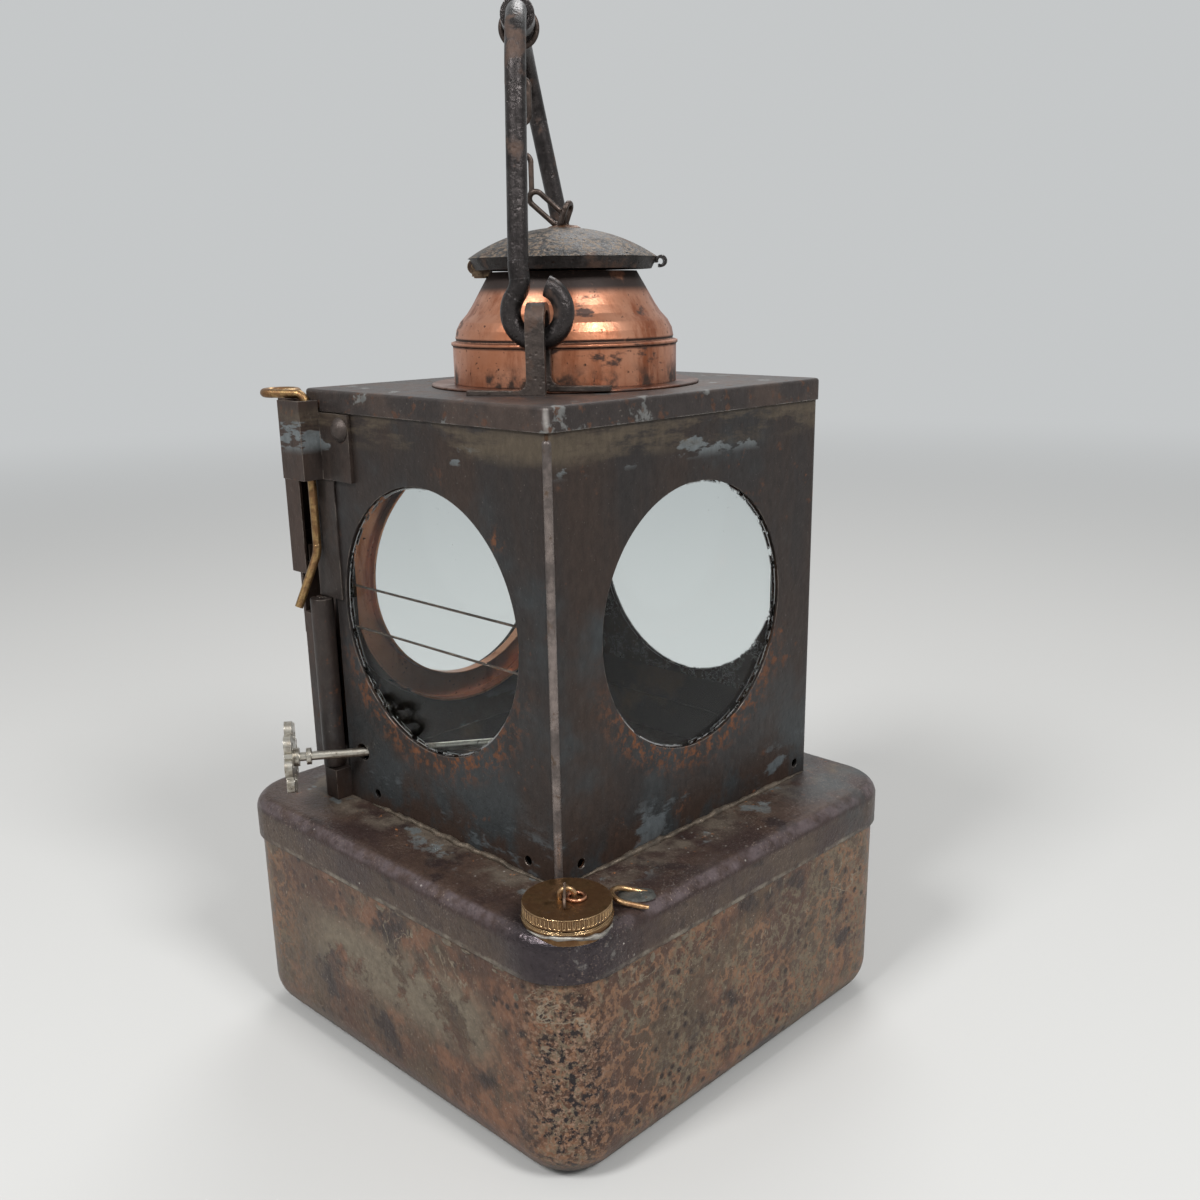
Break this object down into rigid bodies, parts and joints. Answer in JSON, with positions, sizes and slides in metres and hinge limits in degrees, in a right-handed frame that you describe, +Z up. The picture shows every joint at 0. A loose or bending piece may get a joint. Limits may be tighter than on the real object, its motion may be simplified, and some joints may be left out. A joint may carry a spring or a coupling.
{
  "type": "railway signal lamp",
  "caption": "Square sheet-steel oil lamp with round windows, hinged glazed door, copper chimney with hinged cap, wire bail and square oil tank.",
  "frame": {"origin": "centre of the tank's flat base, on the surface the lamp stands on", "axes": "+Z up, +X towards the side window, -X towards the door, -Y towards the window with the winder and filler cap"},
  "size_m": [0.1708, 0.1731, 0.3407],
  "materials": {
    "tank_paint": "worn, rust stained",
    "house_paint": "worn, rust stained",
    "bare_steel": "aged, oiled",
    "solder": "dull",
    "copper": "tarnished copper",
    "brass": "tarnished",
    "glass": "dusty",
    "cotton": "woven",
    "cork": "matt",
    "nickel": "dull plated"
  },
  "bodies": {
    "lamp": {"tank_shell": "tank_paint", "tank_lid": "tank_paint", "filler_neck": "brass", "lid_staple": "brass", "house_shell": "house_paint", "corner_seam": "solder", "inner_ledge": "house_paint", "glass_guides": "house_paint", "front_glass": "glass", "side_glass": "glass", "rear_glass": "glass", "retaining_wires": "bare_steel", "roof_plate": "house_paint", "chimney_foot": "copper", "chimney_body": "copper", "cap_hinge_lug": "brass", "cap_hinge_pin": "brass", "bail_bracket_front": "house_paint", "bail_bracket_rear": "house_paint", "hinge_bracket": "house_paint", "bracket_rivet": "house_paint", "corner_plate": "house_paint", "pivot_lug": "house_paint", "burner_collar": "brass", "burner_base": "brass", "wick_tube": "brass", "burner_cone": "brass"},
    "chimney_cap": {"chimney_cap": "bare_steel", "cap_hinge_strap": "brass", "cap_loop": "bare_steel", "cap_link": "bare_steel"},
    "bail": {"bail_wire": "bare_steel"},
    "grip": {"bail_grip": "bare_steel"},
    "chain_top": {"chain_ring": "bare_steel"},
    "chain": {"chain_links": "bare_steel"},
    "door": {"door_panel": "house_paint", "door_hinge_tube": "house_paint", "door_knuckle": "house_paint", "door_sleeve": "house_paint", "door_tongue": "house_paint", "lens_ring": "copper", "door_glass": "glass"},
    "drop_pin": {"drop_pin": "brass"},
    "filler_seal": {"filler_washer": "cork"},
    "filler_cap": {"filler_cap": "brass", "filler_eye": "brass", "filler_ring": "copper", "filler_link": "bare_steel"},
    "winder": {"winder_spindle": "nickel", "winder_wheel": "nickel", "spur_wheels": "brass"},
    "wick": {"wick": "cotton"}
  },
  "joints": [
    {"name": "bail_swing", "type": "hinge", "parent": "lamp", "child": "bail", "pos_m": [0, 0.004, 0.25], "axis": [0.585, -0.8111, 0], "range_deg": [-100, 64]},
    {"name": "grip_spin", "type": "hinge", "parent": "bail", "child": "grip", "pos_m": [-0.00979, -0.00306, 0.33524], "axis": [0.7187, -0.6951, 0.0167], "continuous": true},
    {"name": "chain_hang", "type": "hinge", "parent": "bail", "child": "chain_top", "pos_m": [-0.00979, -0.00306, 0.33524], "axis": [0.585, -0.8111, 0], "range_deg": [-64, 100]},
    {"name": "chain_swing", "type": "hinge", "parent": "chain_top", "child": "chain", "pos_m": [-0.00979, -0.00306, 0.32854], "axis": [0.585, -0.8111, 0], "range_deg": [-27, 0]},
    {"name": "cap_open", "type": "hinge", "parent": "lamp", "child": "chimney_cap", "pos_m": [-0.01987, -0.01587, 0.2637], "axis": [0.7071, -0.7071, 0], "range_deg": [0, 40]},
    {"name": "door_swing", "type": "hinge", "parent": "lamp", "child": "door", "pos_m": [-0.0543, -0.062, 0.16], "axis": [0, 0, 1], "range_deg": [0, 65]},
    {"name": "drop_pin_lift", "type": "slide", "parent": "lamp", "child": "drop_pin", "axis": [0, 0, 1], "range_m": [0, 0.022]},
    {"name": "filler_turn", "type": "hinge", "parent": "filler_seal", "child": "filler_cap", "pos_m": [0.0707, -0.0689, 0.088], "axis": [0, 0, 1], "range_deg": [0, 900]},
    {"name": "filler_lift", "type": "slide", "parent": "lamp", "child": "filler_seal", "axis": [0, 0, 1], "range_m": [0, 0.00374]},
    {"name": "winder_turn", "type": "hinge", "parent": "lamp", "child": "winder", "pos_m": [0.00365, 0.00137, 0.103], "axis": [-0.585, -0.8111, 0], "range_deg": [-110, 140]},
    {"name": "wick_slide", "type": "slide", "parent": "lamp", "child": "wick", "axis": [0, 0, 1], "range_m": [-0.0078, 0.0061]}
  ],
  "couplings": [
    {"joint": "chain_hang", "follows": "bail_swing", "ratio": -1},
    {"joint": "chain_swing", "follows": "cap_open", "ratio": -0.66},
    {"joint": "filler_turn", "follows": "filler_lift", "rad_per_m": 4188.8},
    {"joint": "winder_turn", "follows": "wick_slide", "rad_per_m": -312.5}
  ]
}
